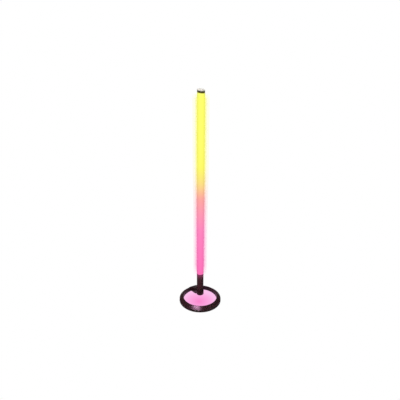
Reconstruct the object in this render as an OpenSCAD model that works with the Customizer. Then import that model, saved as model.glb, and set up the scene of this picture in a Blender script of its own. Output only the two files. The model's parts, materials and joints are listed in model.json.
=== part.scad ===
// Floor-standing LED light tube on an open ring base.
// Origin: centre of the ring on the floor. +Z is up, the arm is at the back (+Y). Millimetres.

/* [Light tube] */
// Outer diameter of the diffuser and sleeve
tube_d = 38; // [34:0.5:42]
// Wall of the diffuser and sleeve
tube_wall = 2; // [1.5:0.1:2.2]
// Height at which the black sleeve ends and the diffuser starts
diffuser_z = 178; // [170:1:220]
// Height of the middle of the slanted top face
top_z = 1181; // [900:1:1400]
// Tilt of the top face down towards the front, in degrees
top_tilt = 12; // [0:1:20]
// Height of the black band below the face
band_h = 10; // [5:0.5:12]
// Height of the pale face above the band
panel_h = 4; // [3:0.5:5]

/* [Ring base] */
// Outer diameter of the ring
ring_d = 240.4; // [236:0.1:280]
// Diameter of the open middle
ring_hole_d = 194; // [184:0.1:194]
// Height of the inner wall's top
ring_inner_h = 27.8; // [26:0.1:30]
// Height at which the outer wall starts to round over
ring_outer_h = 10.4; // [9.5:0.1:11]
// Wall of the ring shell
shell_wall = 2.4; // [2:0.1:3]
// Gap between the shell and the floor
shell_gap = 1; // [0.5:0.1:1.2]

/* [Socket] */
// Outer diameter of the socket collar
collar_d = 41.4; // [41:0.1:46]
// Height of the collar's underside
collar_z0 = 41; // [38:0.5:42]
// Height of the collar's rim
collar_z1 = 79; // [78:0.5:80]

/* [Buttons] */
// Diameter of the power button
power_d = 10; // [8:0.5:11]
// Diameter of the two small buttons
small_d = 6.4; // [5:0.1:7]
// Travel of a button
button_travel = 0.6; // [0.3:0.1:0.8]

/* [Power inlet] */
// Diameter of the inlet's centre pin
pin_d = 2.1; // [1.9:0.1:2.5]
// Diameter of the inlet's opening
inlet_d = 6.3; // [6:0.1:6.5]

/* [Hidden] */
$fn = 96;

slip = 0.1;           // gap between parts that are assembled by hand
ink = "#241a1a";      // brown-black of the mouldings
ring_r = ring_d / 2;
hole_r = ring_hole_d / 2;
tube_r = tube_d / 2;
bore_r = tube_r - tube_wall;
collar_r = collar_d / 2;

// Ring section: two round edges joined by a straight slope
inner_edge_r = 3;
outer_edge_r = 4;
inner_edge = [hole_r + inner_edge_r, ring_inner_h - inner_edge_r];
outer_edge = [ring_r - outer_edge_r, ring_outer_h];
edge_span = norm(outer_edge - inner_edge);
slope = atan2(inner_edge.y - outer_edge.y, outer_edge.x - inner_edge.x)
      - asin((outer_edge_r - inner_edge_r) / edge_span);

// Ring floor plate, weights and feet
cover_z = shell_gap + 0.4;
cover_t = 1.8;
cover_top = cover_z + cover_t;
weight_arc = 80;
weight_starts = [110, 230, 350];
screw_angles = [for (mid = [90, 210, 330]) for (side = [-14, 14]) mid + side];
screw_ring_r = 107;
foot_angles = [for (i = [0:5]) 30 + i * 60];
foot_ring_r = 108;
foot_r = 5.5;

// Arm: its side outline runs between two curves, from the collar to the ring
arm_top = [[20.4, 78.6], [24, 64], [64, 64], [97, 32.6]];
arm_under = [[15.5, 41], [22, 18], [70, 24], [96.8, 8.5]];
arm_toe = [112.5, 19.6];
arm_half = 19;
arm_waist = 18.2;
arm_flare = 23;
arm_cavity_half = 10;
arm_skin = 3.2;
arm_cover_t = 2.2;
arm_cover_y = [40, 90];
prong_z = [8.6, 13];
prong_y = 109;
arm_screw_pos = [14, 104];
arm_cover_screw_y = [46, 84];

// Socket levels
web_z = [48.5, 50.5];
socket_r = 18.3;
liner_floor = 2;
liner_bore_r = 17.3;
plug_r = 17.15;
plug_z = 57.6;
contact_r = 5;
light_board_z = 44;
lens_t = 1.6;

// Inlet
inlet_z = 7.3;
inlet_back_y = 102.3;
inlet_step_y = 115.2;
inlet_face_y = 119.4;
inlet_depth = 9.5;
pin_root_y = inlet_back_y + 2;
pin_root_r = 1.5;

// Head levels, measured along the tube's axis
panel_z = top_z - panel_h;
band_z = panel_z - band_h;
core_z = 1134;
spine_top = 1150;
spine_z = 170;
spine_w = 14;
spine_bore = 8;
strip_w = 10;
strip_t = 0.4;
strip_z = [196, 1130];
chip_count = 46;
chip_w = 5;
chip_t = 1.4;
disc_levels = [184, 420, 656, 892, 1128];

// Head electronics, measured down from the slanted face
pocket_depth = 12;
board_depth = 11;
board_t = 1.6;
switch_h = 2.5;
button_proud = 0.8;
flange_top = 4.4;
flange_t = 1;
power_xy = [0, -6];
mode_xy = [-7.6, 6.2];
link_xy = [7.6, 6.2];
button_gap = 0.2;

// ---------- helpers ----------

function arc(centre, r, a0, a1, n) =
    [for (i = [0:n]) let (a = a0 + (a1 - a0) * i / n) centre + r * [cos(a), sin(a)]];

function bezier(p, t) =
    pow(1 - t, 3) * p[0] + 3 * t * pow(1 - t, 2) * p[1] + 3 * t * t * (1 - t) * p[2] + pow(t, 3) * p[3];

function curve(p, n) = [for (i = [0:n]) bezier(p, i / n)];

function moved(points, step) = [for (p = points) p + step];

function back_to_front(points) = [for (i = [len(points) - 1:-1:0]) points[i]];

top_line = curve(arm_top, 18);
under_line = curve(arm_under, 18);

function ring_outline(inset, bottom) = concat(
    [[hole_r + inset, bottom]],
    arc(inner_edge, inner_edge_r - inset, 180, 90 - slope, 10),
    arc(outer_edge, outer_edge_r - inset, 90 - slope, 0, 10),
    [[ring_r - inset, bottom]]);

module ring_solid(inset, bottom) {
    rotate_extrude($fn = 180) polygon(ring_outline(inset, bottom));
}

module at_angles(angles, r) {
    for (a = angles) rotate([0, 0, a]) translate([r, 0, 0]) children();
}

module tube(r_out, r_in, z0, z1) {
    difference() {
        translate([0, 0, z0]) cylinder(h = z1 - z0, r = r_out);
        translate([0, 0, z0 - 1]) cylinder(h = z1 - z0 + 2, r = r_in);
    }
}

// Direction of a route at its point i
function heading(points, i) =
    let (step = points[min(i + 1, len(points) - 1)] - points[max(i - 1, 0)]) step / norm(step);

// Eight points round a route's point i; the routes never run along X
function loop_at(points, i, r) =
    let (t = heading(points, i), side = cross(t, [1, 0, 0]), u = side / norm(side), v = cross(t, u))
    [for (k = [0:7]) points[i] + r * (cos(45 * k) * u + sin(45 * k) * v)];

// Insulated lead along a route
module lead(points, r) {
    last = len(points) - 1;
    polyhedron(
        points = [for (i = [0:last]) each loop_at(points, i, r)],
        faces = concat(
            [[for (k = [0:7]) k]],
            [for (i = [0:last - 1]) for (k = [0:7])
                [8 * i + k, 8 * i + 8 + k, 8 * i + 8 + (k + 1) % 8, 8 * i + (k + 1) % 8]],
            [[for (k = [7:-1:0]) 8 * last + k]]));
}

// Screw with its head at the bottom, pointing up
module screw_up(head_r, head_h, shank_r, length) {
    difference() {
        cylinder(h = head_h, r = head_r, $fn = 32);
        translate([0, 0, -1]) cylinder(h = 1 + head_h / 2, r = head_r / 2.4, $fn = 6);
    }
    translate([0, 0, head_h]) cylinder(h = length, r = shank_r, $fn = 32);
}

// Frame of the slanted top face: local z = 0 is the face
module on_face() {
    translate([0, 0, top_z]) rotate([top_tilt, 0, 0]) children();
}

// Everything below the slanted plane that crosses the axis at height z
module below_plane(z) {
    translate([0, 0, z]) rotate([top_tilt, 0, 0]) translate([-450, -450, -1400]) cube([900, 900, 1400]);
}

// Side outline of the arm, drawn in the Y-Z plane and given its width along X
module arm_prism(points, half) {
    translate([-half, 0, 0]) rotate([90, 0, 90]) linear_extrude(2 * half) polygon(points);
}

// ---------- base ----------

module ring_shell() {
    window_half = 18.3;
    window_z = prong_z[0] - 0.3;
    window_h = prong_z[1] + 0.3 - window_z;
    color(ink) {
        difference() {
            ring_solid(0, shell_gap);
            ring_solid(shell_wall, shell_gap - 1);
            translate([-window_half, 90, window_z]) cube([2 * window_half, 11, window_h]);
            // taller middle of the window, for the lead
            translate([-4, 90, window_z]) cube([8, 11, 9]);
            translate([0, 112, inlet_z]) rotate([-90, 0, 0]) cylinder(h = 10, r = 4.1);
        }
        // Bosses for the cover screws and the arm screws
        intersection() {
            ring_solid(shell_wall - 0.8, shell_gap);
            difference() {
                union() {
                    at_angles(screw_angles, screw_ring_r)
                        translate([0, 0, cover_top + slip]) cylinder(h = 20, r = 3, $fn = 32);
                    for (s = [-1, 1]) translate([s * arm_screw_pos.x, arm_screw_pos.y, prong_z[1] + slip])
                        cylinder(h = 12, r = 3.6, $fn = 32);
                }
                at_angles(screw_angles, screw_ring_r) cylinder(h = 12, r = 1.35, $fn = 32);
                for (s = [-1, 1]) translate([s * arm_screw_pos.x, arm_screw_pos.y, 0])
                    cylinder(h = 18.2, r = 1.75, $fn = 32);
            }
        }
    }
}

module ring_cover() {
    color("#1c1718") difference() {
        tube(ring_r - shell_wall - 0.2, hole_r + shell_wall + 0.2, cover_z, cover_top);
        at_angles(foot_angles, foot_ring_r) cylinder(h = cover_z + 0.8, r = foot_r + slip, $fn = 48);
        at_angles(screw_angles, screw_ring_r) cylinder(h = cover_z + 1.1, r = 2.8, $fn = 32);
        at_angles(screw_angles, screw_ring_r) cylinder(h = 10, r = 1.6, $fn = 32);
    }
}

module ballast_weights() {
    section = [[99.6, cover_top + 0.2], [116.4, cover_top + 0.2], [116.4, 8.6], [101.4, 19.4], [99.6, 19.4]];
    color("silver") for (a = weight_starts)
        rotate([0, 0, a]) rotate_extrude(angle = weight_arc, $fn = 180) polygon(section);
}

module foot_pads() {
    color("#181818") at_angles(foot_angles, foot_ring_r) {
        cylinder(h = 0.6, r1 = foot_r - 0.6, r2 = foot_r, $fn = 48);
        translate([0, 0, 0.6]) cylinder(h = cover_z + 0.2, r = foot_r, $fn = 48);
    }
}

module cover_screws() {
    color("silver") at_angles(screw_angles, screw_ring_r)
        translate([0, 0, cover_z + 0.1]) screw_up(2.6, 1, 1.3, 8);
}

// Plan outline of the arm, half of it
module arm_plan() {
    side = [[arm_half, 0], [arm_waist, 34], [arm_waist, 60], [20, 84], [arm_flare, 113]];
    other = [for (i = [len(side) - 1:-1:0]) [-side[i].x, side[i].y]];
    linear_extrude(120) polygon(concat(side, other));
}

module support_arm() {
    roof = [for (p = moved(top_line, [0, -arm_skin])) if (p.x > 24) p];
    ground = [for (p = moved(back_to_front(under_line), [0, arm_skin])) if (p.x > 24 && p.x < 90) p];
    color(ink) difference() {
        union() {
            difference() {
                intersection() {
                    arm_prism(concat(top_line, [arm_toe, [hole_r, arm_toe.y]], back_to_front(under_line)),
                              30);
                    arm_plan();
                }
                // cavity for the lead, open to the ring
                arm_prism(concat(roof, [[97, 10.4]], ground), arm_cavity_half);
            }
            translate([0, 0, collar_z0]) cylinder(h = collar_z1 - collar_z0, r = collar_r);
            // bosses for the arm cover's screws
            intersection() {
                arm_prism(concat(top_line, back_to_front(under_line)), 30);
                for (y = arm_cover_screw_y) translate([0, y, 0]) cylinder(h = 70, r = 3, $fn = 32);
            }
            // prongs that reach into the ring
            for (s = [-1, 1]) translate([s * arm_screw_pos.x - 4, 86, prong_z[0]])
                cube([8, prong_y - 86, prong_z[1] - prong_z[0]]);
        }
        // room for the ring, apart from the window the prongs use
        difference() {
            ring_solid(-slip, -5);
            translate([-18.1, 90, prong_z[0]]) cube([36.2, prong_y - 90, prong_z[1] - prong_z[0]]);
        }
        for (s = [-1, 1]) translate([s * arm_screw_pos.x, arm_screw_pos.y, 0])
            cylinder(h = 20, r = 1.9, $fn = 32);
        // seat of the arm cover
        intersection() {
            arm_prism(concat(moved(under_line, [0, arm_cover_t]), back_to_front(moved(under_line, [0, -5]))),
                      arm_cavity_half);
            translate([-20, arm_cover_y[0], 0]) cube([40, arm_cover_y[1] - arm_cover_y[0], 60]);
        }
        for (y = arm_cover_screw_y) translate([0, y, 0]) cylinder(h = 32, r = 1.3, $fn = 32);
        // socket bore, light recess, web hole and lead passage
        translate([0, 0, web_z[1]]) cylinder(h = 60, r = socket_r);
        translate([0, 0, web_z[0] - 30]) cylinder(h = 30, r = socket_r);
        translate([0, 0, web_z[0] - 1]) cylinder(h = 4, r = 6.5);
        translate([-5, 14, light_board_z + 1.2]) cube([10, 12, 3.3]);
    }
}

module arm_screws() {
    color("silver") for (s = [-1, 1]) translate([s * arm_screw_pos.x, arm_screw_pos.y, prong_z[0] - 2.3])
        screw_up(3, 2.2, 1.7, 9.5);
}

module arm_cover() {
    band = concat(moved(under_line, [0, arm_cover_t - slip]), back_to_front(under_line));
    color("#1c1718") difference() {
        intersection() {
            arm_prism(band, arm_cavity_half - slip);
            translate([-20, arm_cover_y[0] + slip, 0])
                cube([40, arm_cover_y[1] - arm_cover_y[0] - 2 * slip, 60]);
        }
        for (y = arm_cover_screw_y) translate([0, y, 0]) {
            cylinder(h = 40, r = 1.5, $fn = 32);
            cylinder(h = underside(y) + 1.2, r = 2.6, $fn = 32);
        }
    }
}

// Height of the arm's underside at a distance y from the axis
function underside(y) = lookup(y, under_line);

module arm_cover_screws() {
    color("silver") for (y = arm_cover_screw_y)
        translate([0, y, underside(y) + 0.1]) screw_up(2.4, 1.1, 1.2, 8);
}

module socket_liner() {
    color("#101010") difference() {
        translate([0, 0, web_z[1]]) cylinder(h = collar_z1 - web_z[1] - 0.4, r = socket_r - slip);
        translate([0, 0, web_z[1] + liner_floor]) cylinder(h = 40, r = liner_bore_r);
        translate([0, 0, web_z[1] - 1]) cylinder(h = 10, r = 8.1);
    }
}

module contact_block() {
    color("#303030") difference() {
        translate([0, 0, web_z[1]]) cylinder(h = 5.5, r = 8);
        for (x = [0, contact_r]) translate([x, 0, web_z[1] - 1]) cylinder(h = 10, r = 0.8, $fn = 32);
    }
}

module contact_pins() {
    color("gold") for (x = [0, contact_r]) translate([x, 0, web_z[1] - 1.2]) {
        cylinder(h = 7.4, r = 0.75, $fn = 32);
        translate([0, 0, 7.4]) cylinder(h = 0.6, r1 = 0.75, r2 = 0.4, $fn = 32);
    }
}

module downlight_board() {
    color("white") translate([0, 0, light_board_z]) cylinder(h = 1.2, r = socket_r - 0.3);
}

module downlight_leds() {
    color("#fff4a0") for (i = [0:5]) rotate([0, 0, i * 60]) translate([8.5, -1.75, light_board_z - 0.8])
        cube([3.5, 3.5, 0.8]);
}

module downlight_lens() {
    color("#f2d6e6") translate([0, 0, collar_z0 + 0.4]) cylinder(h = lens_t, r = socket_r - slip);
}

module dc_jack() {
    color("#202020") difference() {
        union() {
            translate([-4.5, inlet_back_y, 3.4]) cube([9, inlet_step_y - inlet_back_y, 7.5]);
            translate([0, inlet_step_y - 0.5, inlet_z]) rotate([-90, 0, 0])
                cylinder(h = inlet_face_y - inlet_step_y + 0.5, r = 4);
        }
        translate([0, inlet_face_y - inlet_depth, inlet_z]) rotate([-90, 0, 0])
            cylinder(h = inlet_depth + 1, r = inlet_d / 2);
        translate([0, pin_root_y, inlet_z]) rotate([-90, 0, 0]) cylinder(h = 8, r = pin_root_r);
    }
}

module dc_pin() {
    color("gold") {
        translate([0, pin_root_y, inlet_z]) rotate([-90, 0, 0])
            cylinder(h = inlet_face_y - inlet_depth - pin_root_y, r = pin_root_r);
        translate([0, inlet_face_y - inlet_depth, inlet_z]) rotate([-90, 0, 0])
            cylinder(h = inlet_depth - 1, r = pin_d / 2);
    }
}

module base_lead() {
    route = [[0, inlet_back_y - 0.1, 8.8], [0, 101.2, 9.2], [0, 98.8, 12.3], [0, 96, 13.6], [1, 92, 15.8],
             [6.5, 84, 20.5], [6.5, 62, 31], [6.5, 36, 42], [2, 25, 46.9], [2.5, 3, 46.9]];
    color("#c03030") lead(route, 1.3);
}

// ---------- light tube ----------

module stick_plug() {
    color("#202020") difference() {
        union() {
            translate([0, 0, plug_z]) cylinder(h = collar_z1 + slip - plug_z, r = plug_r);
            translate([0, 0, collar_z1]) cylinder(h = 13, r = bore_r - slip);
        }
        translate([0, 0, plug_z + 4.4]) cylinder(h = 60, r = 14);
        translate([0, 0, plug_z - 1]) cylinder(h = 1.8, r = 7.2);
        translate([0, 0, plug_z - 1]) cylinder(h = 20, r = 1);
    }
}

module contact_pads() {
    color("gold") {
        translate([0, 0, plug_z]) cylinder(h = 0.8, r = 2.5);
        tube(6.8, 3.4, plug_z, plug_z + 0.8);
    }
}

module lower_sleeve() {
    color("#2a1c20") tube(tube_r, bore_r, collar_z1 + slip, diffuser_z);
}

module tube_joiner() {
    color("white") tube(bore_r - slip, 14.6, diffuser_z - 9, diffuser_z + 10);
}

module driver_board() {
    color("#0e5a30") difference() {
        translate([-13, -0.8, 94]) cube([26, board_t, 72]);
        for (z = [98, 162]) translate([0, -2, z]) rotate([-90, 0, 0]) cylinder(h = 5, r = 1.3, $fn = 24);
    }
}

module driver_components() {
    color("#404048") {
        for (z = [106, 152]) translate([-6, -0.8, z]) rotate([90, 0, 0]) cylinder(h = 9, r = 4);
        translate([0.5, -7.8, 118]) cube([10, 7, 10]);
        for (z = [136, 146]) translate([2, -2.6, z]) cube([7, 1.8, 6]);
        translate([-10, -2.2, 118]) cube([6, 1.4, 8]);
        translate([-3.5, 0.8, 110]) cube([7, 6, 12]);
        translate([-3, 0.8, 134]) cube([6, 3, 6]);
    }
}

module diffuser_tube() {
    color("#ff9cc8") intersection() {
        tube(tube_r, bore_r, diffuser_z + slip, top_z + 20);
        below_plane(band_z - slip);
    }
}

module led_spine() {
    color("#b8bcc2") difference() {
        translate([-spine_w / 2, -spine_w / 2, spine_z]) cube([spine_w, spine_w, spine_top - spine_z]);
        translate([-spine_bore / 2, -spine_bore / 2, spine_z - 1])
            cube([spine_bore, spine_bore, spine_top - spine_z + 2]);
    }
}

module spine_discs() {
    slot = spine_w + 2 * slip;
    gap = strip_t + chip_t + slip;
    color("white") for (z = disc_levels) difference() {
        translate([0, 0, z]) cylinder(h = 3, r = (z < diffuser_z + 12 ? 14.4 : bore_r - slip));
        translate([-slot / 2, -slot / 2, z - 1]) cube([slot, slot, 5]);
        translate([-chip_w / 2 - 3, -slot / 2 - gap, z - 1]) cube([chip_w + 6, slot + 2 * gap, 5]);
    }
}

module led_strips() {
    for (s = [0, 180]) rotate([0, 0, s])
        color("#f4f0e4") translate([-strip_w / 2, spine_w / 2, strip_z[0]])
            cube([strip_w, strip_t, strip_z[1] - strip_z[0]]);
}

module led_chips() {
    pitch = (strip_z[1] - strip_z[0]) / chip_count;
    color("#fff4a0") for (s = [0, 180]) rotate([0, 0, s]) for (i = [0:chip_count - 1])
        translate([-chip_w / 2, spine_w / 2 + strip_t, strip_z[0] + (i + 0.5) * pitch - chip_w / 2])
            cube([chip_w, chip_t, chip_w]);
}

module stick_harness() {
    route = [[0, 9.5, plug_z + 5], [8.5, 6, 90], [8.5, 6, 160], [1.5, 1.5, 172], [1.5, 1.5, core_z + 22]];
    color("#c03030") lead(route, 1.2);
}

// Hole through the head, square to the slanted face
module face_hole(xy, r, depth) {
    on_face() translate([xy.x, xy.y, -depth]) cylinder(h = depth + 10, r = r, $fn = 64);
}

module top_core() {
    color("#202020") difference() {
        intersection() {
            translate([0, 0, core_z]) cylinder(h = top_z - core_z, r = bore_r - slip);
            below_plane(panel_z - slip);
        }
        on_face() translate([0, 0, -pocket_depth]) cylinder(h = 30, r = 14);
        translate([-spine_w / 2 - slip, -spine_w / 2 - slip, core_z - 1])
            cube([spine_w + 2 * slip, spine_w + 2 * slip, spine_top - core_z + 2]);
        translate([0, 0, core_z]) cylinder(h = 60, r = 4.5);
        for (s = [-1, 1]) on_face() translate([s * 11, 0, -pocket_depth - 7])
            cylinder(h = 20, r = 0.95, $fn = 24);
    }
}

module top_band() {
    color("#191412") difference() {
        intersection() {
            tube(tube_r, bore_r, band_z - 20, top_z + 20);
            below_plane(panel_z - slip);
        }
        below_plane(band_z);
    }
}

module top_panel() {
    color("#dcdbd2") difference() {
        intersection() {
            translate([0, 0, panel_z - 20]) cylinder(h = 60, r = tube_r - 0.3);
            below_plane(top_z);
        }
        below_plane(panel_z);
        face_hole(power_xy, power_d / 2 + button_gap, 20);
        for (xy = [mode_xy, link_xy]) face_hole(xy, small_d / 2 + button_gap, 20);
    }
}

module button_board() {
    color("#0e5a30") difference() {
        on_face() translate([0, 0, -board_depth]) cylinder(h = board_t, r = 13.6);
        for (s = [-1, 1]) on_face() translate([s * 11, 0, -20]) cylinder(h = 20, r = 1.1, $fn = 24);
    }
}

module tact_switches() {
    body_z = board_t - board_depth;
    // the stem ends one travel below the button's flange
    stem_h = -body_z - switch_h - flange_top - flange_t - button_travel - slip;
    color("#404048") on_face() for (xy = [power_xy, mode_xy, link_xy]) translate([xy.x, xy.y, body_z]) {
        translate([-2.6, -2.6, 0]) cube([5.2, 5.2, switch_h]);
        translate([0, 0, switch_h]) cylinder(h = stem_h, r = 1.5, $fn = 32);
    }
}

module board_screws() {
    color("silver") on_face() for (s = [-1, 1]) translate([s * 11, 0, board_t - board_depth]) {
        cylinder(h = 1.2, r = 1.8, $fn = 32);
        translate([0, 0, -7]) cylinder(h = 7, r = 0.9, $fn = 32);
    }
}

module push_button(xy, r) {
    on_face() translate([xy.x, xy.y, 0]) {
        translate([0, 0, -flange_top - flange_t]) cylinder(h = flange_t, r = r + 0.7, $fn = 64);
        translate([0, 0, -flange_top]) cylinder(h = flange_top + button_proud - 0.4, r = r, $fn = 64);
        translate([0, 0, button_proud - 0.4]) cylinder(h = 0.4, r1 = r, r2 = r - 0.4, $fn = 64);
    }
}

module power_button() { color("#e9e8e0") push_button(power_xy, power_d / 2); }
module mode_button() { color("#e9e8e0") push_button(mode_xy, small_d / 2); }
module link_button() { color("#e9e8e0") push_button(link_xy, small_d / 2); }

ring_shell();
ring_cover();
ballast_weights();
foot_pads();
cover_screws();
support_arm();
arm_screws();
arm_cover();
arm_cover_screws();
socket_liner();
contact_block();
contact_pins();
downlight_board();
downlight_leds();
downlight_lens();
dc_jack();
dc_pin();
base_lead();
stick_plug();
contact_pads();
lower_sleeve();
tube_joiner();
driver_board();
driver_components();
diffuser_tube();
led_spine();
spine_discs();
led_strips();
led_chips();
stick_harness();
top_core();
top_band();
top_panel();
button_board();
tact_switches();
board_screws();
power_button();
mode_button();
link_button();
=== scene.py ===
# %% [markdown]
# # An LED light tube on an open ring base
# A frosted tube, a metre and more tall, glows from pink at its foot to yellow at its head. It stands in a
# short socket at the middle of an open ring, and an arm carries that socket from the back of the ring.
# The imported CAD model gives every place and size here, so this lesson only makes the surfaces that are
# seen, gives each one its finish, and then lights them.

# %% Load the frame
import json
import math

import bmesh
import bpy
import numpy as np
from mathutils import Matrix, Vector


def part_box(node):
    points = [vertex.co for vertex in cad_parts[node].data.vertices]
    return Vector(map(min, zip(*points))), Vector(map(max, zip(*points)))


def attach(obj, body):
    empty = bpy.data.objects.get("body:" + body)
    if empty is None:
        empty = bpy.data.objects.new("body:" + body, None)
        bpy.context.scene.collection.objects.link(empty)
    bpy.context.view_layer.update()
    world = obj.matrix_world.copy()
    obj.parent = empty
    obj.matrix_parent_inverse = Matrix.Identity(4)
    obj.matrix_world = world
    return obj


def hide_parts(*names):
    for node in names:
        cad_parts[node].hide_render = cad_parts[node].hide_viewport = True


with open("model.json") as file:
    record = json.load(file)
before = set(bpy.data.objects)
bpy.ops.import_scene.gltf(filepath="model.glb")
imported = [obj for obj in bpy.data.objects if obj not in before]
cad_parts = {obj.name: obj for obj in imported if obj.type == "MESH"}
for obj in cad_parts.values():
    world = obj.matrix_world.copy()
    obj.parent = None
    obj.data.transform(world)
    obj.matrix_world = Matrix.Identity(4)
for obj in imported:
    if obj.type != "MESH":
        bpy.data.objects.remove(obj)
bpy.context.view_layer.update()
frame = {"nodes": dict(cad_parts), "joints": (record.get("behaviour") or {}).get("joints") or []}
MM = 0.001
print("CAD pieces:", len(frame["nodes"]))

# %% [markdown]
# ## The numbers everything hangs from
# Most are read off the CAD pieces: a box gives heights, and the points nearest to the axis and farthest
# from it give the radius of a hole and of a rim. A change in the CAD model then moves the seen piece too.
# What these can't tell, such as the radius of a collar that is one moulding with the arm, is a named value.

# %% Measure the CAD pieces


def reach(node):
    """The smallest and largest distance of a CAD piece from the tube's axis."""
    spans = [math.hypot(v.co.x, v.co.y) for v in frame["nodes"][node].data.vertices]
    return min(spans), max(spans)


ring_low, ring_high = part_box("ring_shell")
ring_bottom, ring_top = ring_low.z, ring_high.z
hole_r, ring_r = reach("ring_shell")
sleeve_low, sleeve_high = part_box("lower_sleeve")
sleeve_bottom, sleeve_top = sleeve_low.z, sleeve_high.z
bore_r, tube_r = reach("lower_sleeve")
face_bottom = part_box("top_panel")[0].z
panel_r = reach("top_panel")[1]
press = Vector(next(j["axis"] for j in frame["joints"] if j["name"] == "power_press"))
face_tilt = math.atan2(press.y, -press.z)
collar_r = 20.7 * MM
print(f"ring {2 * ring_r:.4f} m wide, hole {2 * hole_r:.4f} m, tube {2 * tube_r:.4f} m, "
      f"face tilted {math.degrees(face_tilt):.1f} degrees")

# %% [markdown]
# ## The camera
# A product of this kind is shown from a little above, front and left, with the whole tube in view. The
# camera stands a little higher than the tube's head and looks down on the ring from there, so its lens is
# fairly wide for the length that it takes in.

# %% Camera
view_turn = math.radians(-28)
view_distance = 1.733
view_height = 1.2696
view_pitch = math.radians(20.44)
view_side = -0.0237
ahead = Vector((-math.sin(view_turn), math.cos(view_turn), 0))
across = Vector((math.cos(view_turn), math.sin(view_turn), 0))
lens = bpy.data.cameras.new("camera")
lens.sensor_width = 36
lens.lens = 31.58
lens.shift_x = 0.0099
camera = bpy.data.objects.new("camera", lens)
bpy.context.scene.collection.objects.link(camera)
camera.location = -ahead * view_distance + across * view_side + Vector((0, 0, view_height))
camera.rotation_euler = (math.pi / 2 - view_pitch, 0, view_turn)
bpy.context.scene.camera = camera
print("camera at", [round(c, 3) for c in camera.location])

# %% [markdown]
# ## Small tools for shapes
# Nearly everything here is turned, so the main tool is a lathe: it spins a closed outline round the
# tube's axis. Outlines get their round corners from one helper, because a moulded edge that is perfectly
# sharp is the quickest way for a picture to look false.

# %% Outlines


def arc(centre, radius, start, end, steps):
    """Points on an arc, angles in degrees."""
    turn = [math.radians(start + (end - start) * i / steps) for i in range(steps + 1)]
    return [(centre[0] + radius * math.cos(a), centre[1] + radius * math.sin(a)) for a in turn]


def rounded(corners, steps=5):
    """A closed outline whose corners (x, y, radius) are rounded."""
    points = []
    for i, (x, y, radius) in enumerate(corners):
        if radius == 0:
            points.append((x, y))
            continue
        here = Vector((x, y))
        back = (Vector(corners[i - 1][:2]) - here).normalized()
        on = (Vector(corners[(i + 1) % len(corners)][:2]) - here).normalized()
        half = back.angle(on) / 2
        centre = here + (back + on).normalized() * radius / math.sin(half)
        first = here + back * radius / math.tan(half) - centre
        last = here + on * radius / math.tan(half) - centre
        for k in range(steps + 1):
            points.append(tuple(centre + first.slerp(last, k / steps).normalized() * radius))
    return points


print("a 2 mm corner takes", len(rounded([(0, 0, 2), (9, 0, 0), (9, 9, 0)])), "points")

# %% Lathe and loft


def finish_mesh(piece, sharp=38):
    """Joins doubles, turns the faces outwards and leaves only real edges sharp."""
    work = bmesh.new()
    work.from_mesh(piece.data)
    bmesh.ops.remove_doubles(work, verts=work.verts, dist=1e-6)
    bmesh.ops.dissolve_degenerate(work, edges=work.edges, dist=1e-7)
    bmesh.ops.recalc_face_normals(work, faces=work.faces)
    for face in work.faces:
        face.smooth = True
    for edge in work.edges:
        edge.smooth = len(edge.link_faces) == 2 and edge.calc_face_angle() < math.radians(sharp)
    work.to_mesh(piece.data)
    work.free()
    return piece


def mesh_piece(name, verts, faces):
    """An object in the scene from points and faces."""
    mesh = bpy.data.meshes.new(name)
    mesh.from_pydata([tuple(v) for v in verts], [], faces)
    piece = bpy.data.objects.new(name, mesh)
    bpy.context.scene.collection.objects.link(piece)
    return finish_mesh(piece)


def loft(name, loops, closed=False):
    """Skins equal loops of points. The ends are capped, unless the last loop joins the first."""
    size = len(loops[0])
    verts = [p for loop in loops for p in loop]
    faces = []
    for i in range(len(loops) if closed else len(loops) - 1):
        a, b = i * size, (i + 1) % len(loops) * size
        faces += [(a + k, a + (k + 1) % size, b + (k + 1) % size, b + k) for k in range(size)]
    if not closed:
        faces += [tuple(range(size)), tuple(range(len(verts) - size, len(verts)))]
    return mesh_piece(name, verts, faces)


def lathe(name, outline, steps=160):
    """Spins a closed outline of (radius, height) round the tube's axis."""
    turns = [2 * math.pi * i / steps for i in range(steps)]
    return loft(name, [[(r * math.cos(a), r * math.sin(a), z) for r, z in outline] for a in turns], True)


print("lathe and loft ready")

# %% [markdown]
# ## Cutting
# Holes and windows are cut with Boolean modifiers, by simple pieces that are thrown away afterwards. A
# modifier is settled at once, into a plain mesh, so that every later step works on what is really there.

# %% Cutters and cuts


def carve(piece, *cutters):
    """Cuts the cutters out of a piece and throws them away."""
    for cutter in cutters:
        cut = piece.modifiers.new("cut", "BOOLEAN")
        cut.operation = "DIFFERENCE"
        cut.solver = "EXACT"
        cut.object = cutter
    return settle(piece, cutters)


def settle(piece, spent=()):
    """Turns a piece's modifiers into its mesh, and removes the objects they used."""
    evaluated = piece.evaluated_get(bpy.context.evaluated_depsgraph_get())
    done = bpy.data.meshes.new_from_object(evaluated)
    piece.modifiers.clear()
    piece.data = done
    for cutter in spent:
        bpy.data.objects.remove(cutter)
    return finish_mesh(piece)


def cylinder(name, radius, low, high, steps=64):
    """An upright cylinder on the tube's axis."""
    return lathe(name, [(0, low), (radius, low), (radius, high), (0, high)], steps)


def moved(piece, matrix):
    """Moves a piece within its mesh, so that its object stays at the origin."""
    piece.data.transform(matrix)
    return piece


def block(name, low, high):
    """A box from its lowest corner to its highest."""
    corners = [(x, y, z) for z in (low[2], high[2]) for x, y in
               ((low[0], low[1]), (high[0], low[1]), (high[0], high[1]), (low[0], high[1]))]
    return loft(name, [corners[:4], corners[4:]])


print("cutters ready")

# %% [markdown]
# ## A piece's finish and place
# A seen piece rides on one body of the CAD model, so it moves when that body's joint moves. It also names
# the CAD pieces that it is shown instead of.

# %% Placing a piece


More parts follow.
